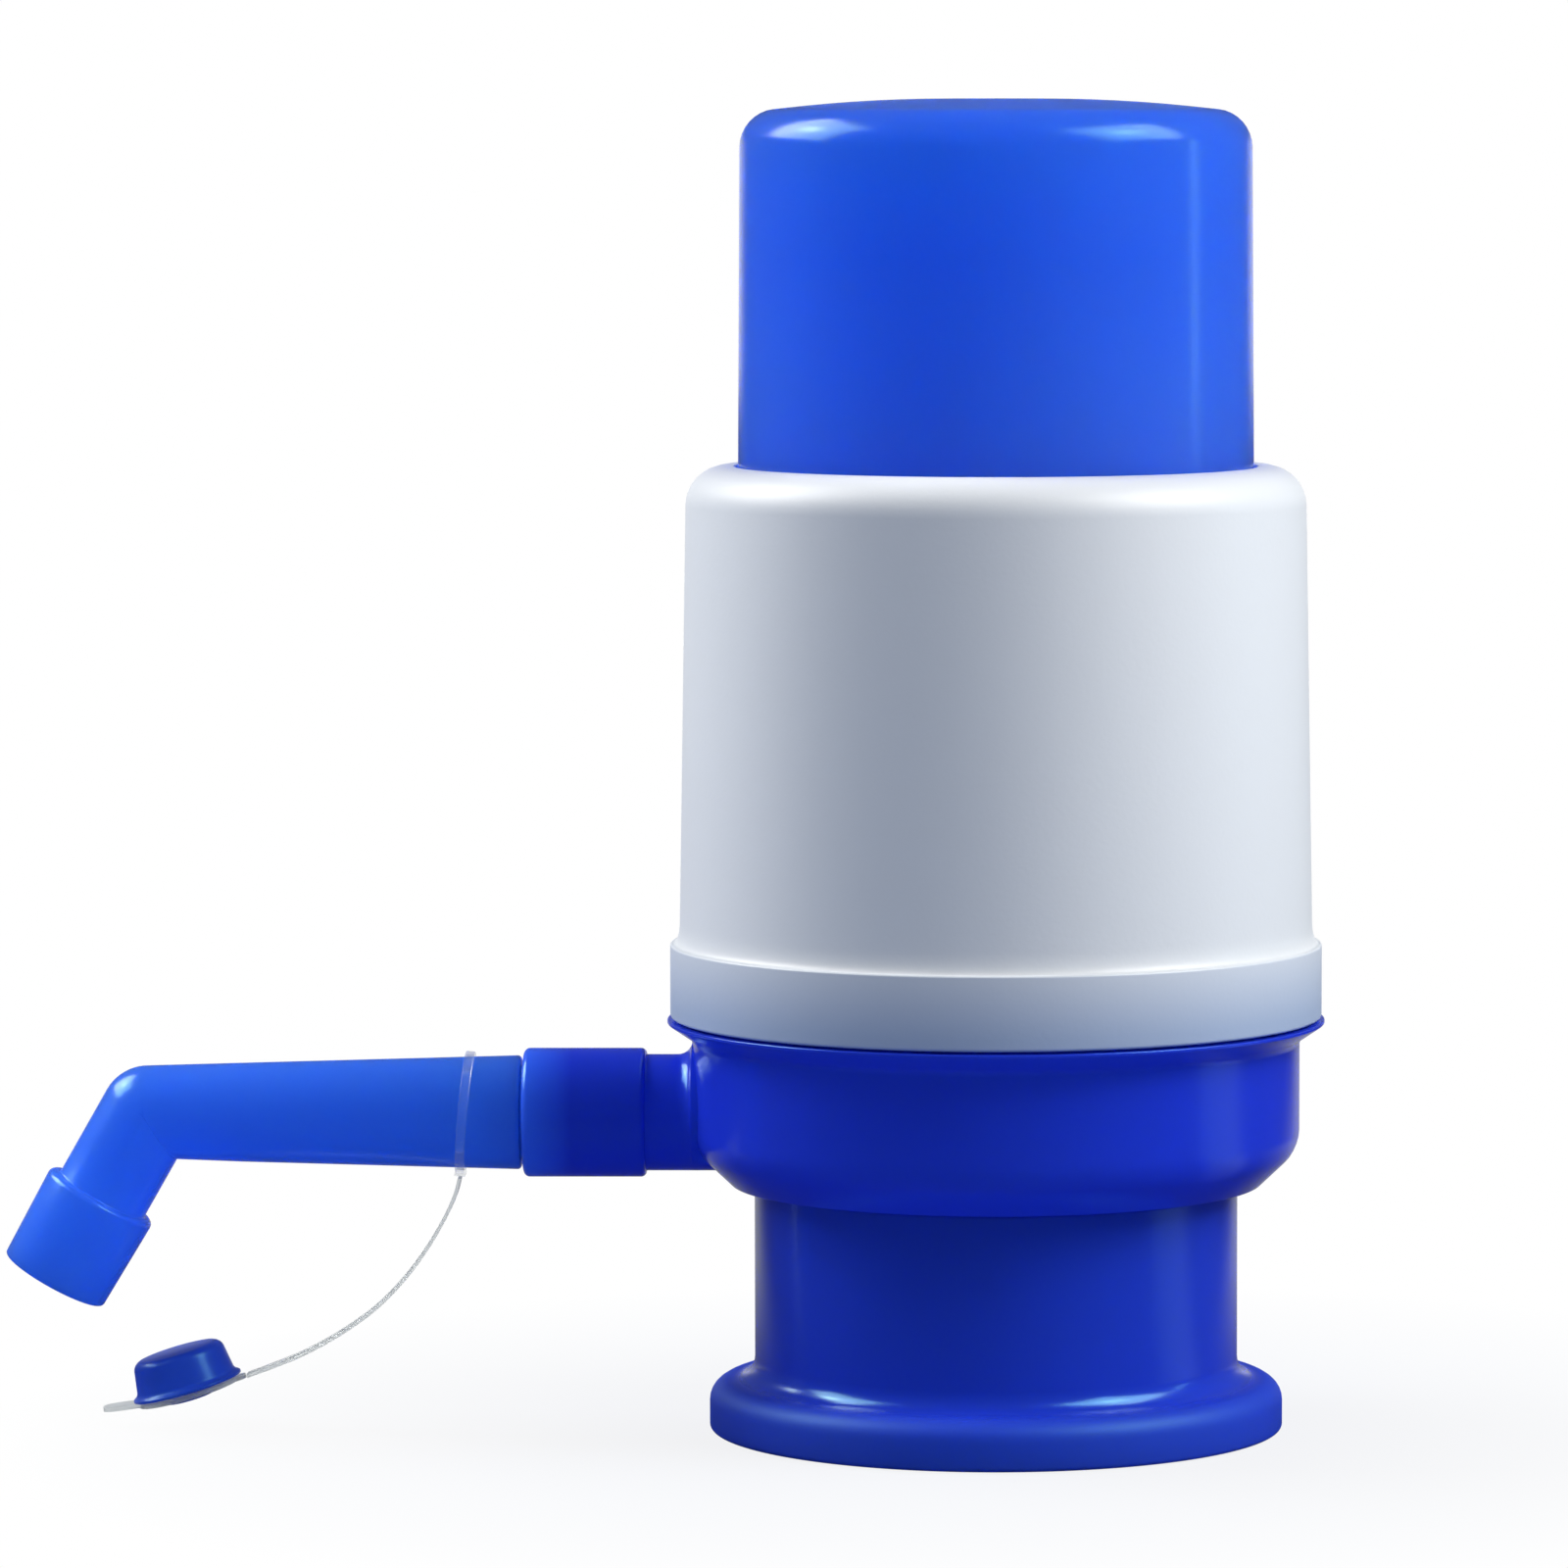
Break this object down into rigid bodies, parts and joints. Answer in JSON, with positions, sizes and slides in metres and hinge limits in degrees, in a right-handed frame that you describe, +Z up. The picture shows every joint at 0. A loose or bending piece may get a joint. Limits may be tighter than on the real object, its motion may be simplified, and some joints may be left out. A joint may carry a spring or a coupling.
{
  "type": "water jug hand pump",
  "caption": "Hand pump for a large water bottle: sprung press cap over a bellows, swivelling bent spout with a tethered dust plug, and a screw clamp collar.",
  "frame": {"origin": "on the floor plane under the middle of pump and spout", "axes": "+Z up along the pump's axis, -X the way the spout points"},
  "size_m": [0.1688, 0.084, 0.1698],
  "materials": {
    "cap_blue": "glossy",
    "base_blue": "glossy",
    "spout_blue": "satin gloss",
    "sleeve_white": "satin",
    "inner_white": "matte",
    "bellows_milky": "milky, flexible",
    "grey_rubber": "matte",
    "clear_soft": "clear, soft"
  },
  "bodies": {
    "base": {"base_body": "base_blue", "sleeve": "sleeve_white", "bellows_clamp_ring": "inner_white", "bellows": "bellows_milky", "valve_plate": "inner_white", "deck_seal": "grey_rubber", "delivery_valve": "grey_rubber", "tube_connector": "inner_white", "neck_gasket": "grey_rubber"},
    "cap": {"press_cap": "cap_blue", "bellows_head": "inner_white", "inlet_valve": "grey_rubber"},
    "spout": {"spout": "spout_blue", "spout_o_ring": "grey_rubber"},
    "tether": {"tether_ring": "clear_soft", "tether_strap": "clear_soft", "tether_end": "clear_soft", "dust_plug": "spout_blue"},
    "grip": {"grip_ring": "inner_white"},
    "collar": {"clamp_collar": "base_blue"}
  },
  "joints": [
    {"name": "cap_press", "type": "slide", "parent": "base", "child": "cap", "axis": [0, 0, -1], "range_m": [0, 0.04], "stiffness_N_per_m": 400, "springref_m": -0.005, "deforming": ["bellows"]},
    {"name": "spout_swivel", "type": "hinge", "parent": "base", "child": "spout", "pos_m": [-0.01825, 0, 0.0405], "axis": [1, 0, 0], "continuous": true},
    {"name": "tether_swing", "type": "hinge", "parent": "spout", "child": "tether", "pos_m": [-0.02545, 0, 0.0405], "axis": [1, 0, 0], "continuous": true},
    {"name": "grip_travel", "type": "slide", "parent": "base", "child": "grip", "axis": [0, 0, 1], "range_m": [-0.005, 0]},
    {"name": "collar_turn", "type": "hinge", "parent": "grip", "child": "collar", "pos_m": [0.04245, 0, 0], "axis": [0, 0, 1], "range_deg": [-450, 0]}
  ],
  "couplings": [
    {"joint": "grip_travel", "follows": "collar_turn", "m_per_rad": 0.00063662}
  ]
}
